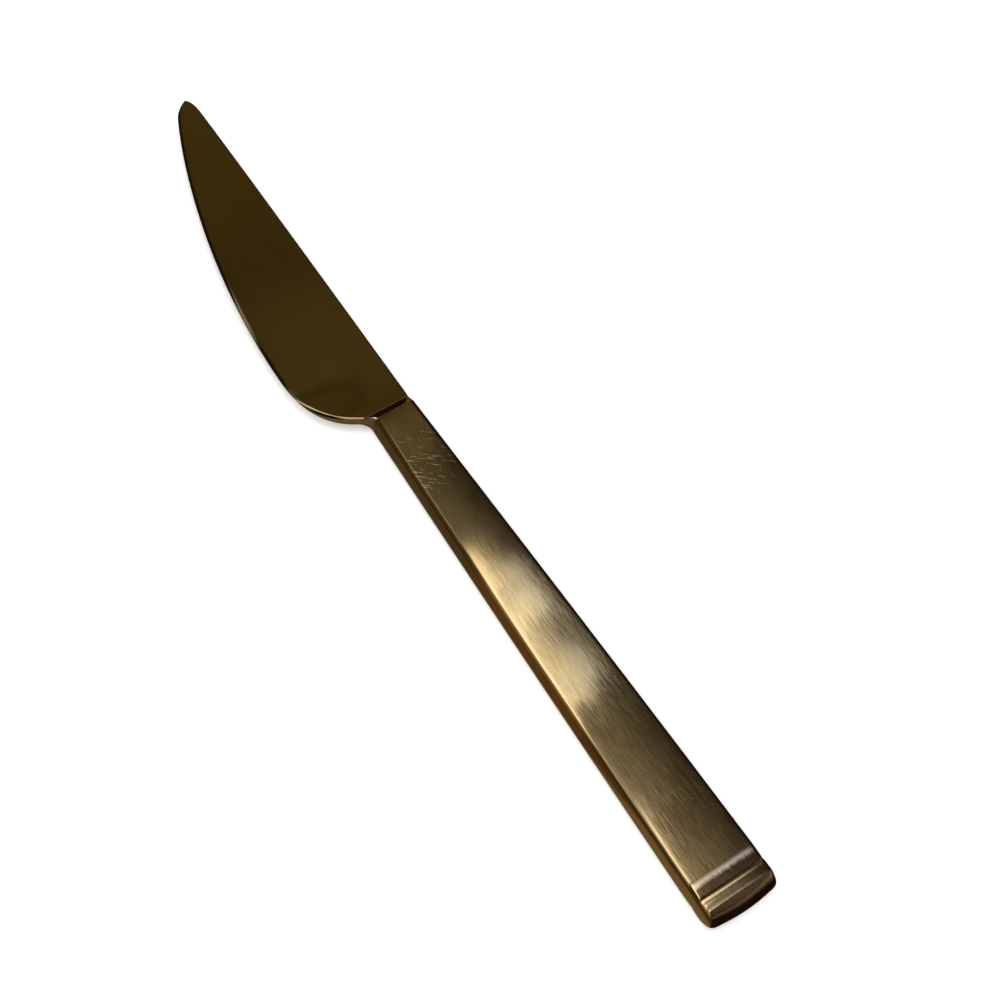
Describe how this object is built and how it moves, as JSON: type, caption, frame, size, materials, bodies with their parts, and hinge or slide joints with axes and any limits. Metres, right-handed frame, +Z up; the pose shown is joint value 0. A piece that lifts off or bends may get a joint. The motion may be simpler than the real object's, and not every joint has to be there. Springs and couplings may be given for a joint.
{
  "type": "table knife",
  "caption": "Table knife with a curved, polished blade that steps down from a bevelled shoulder, and a flat hollow handle that widens to a grooved end cap.",
  "frame": {"origin": "on the face the knife lies on, below the middle of its overall length and width", "axes": "+X along the knife to the blade's tip, +Y to the cutting edge, +Z up from the face it lies on"},
  "size_m": [0.236, 0.0264, 0.0072],
  "materials": {
    "blade_metal": "polished",
    "handle_metal": "satin",
    "cap_metal": "satin",
    "cement": "matte",
    "braze": "satin"
  },
  "bodies": {
    "root": {"blade": "blade_metal", "handle_shell_top": "handle_metal", "handle_shell_bottom": "handle_metal", "end_cap": "cap_metal", "tang_cement": "cement", "seam_braze": "braze"}
  },
  "joints": []
}
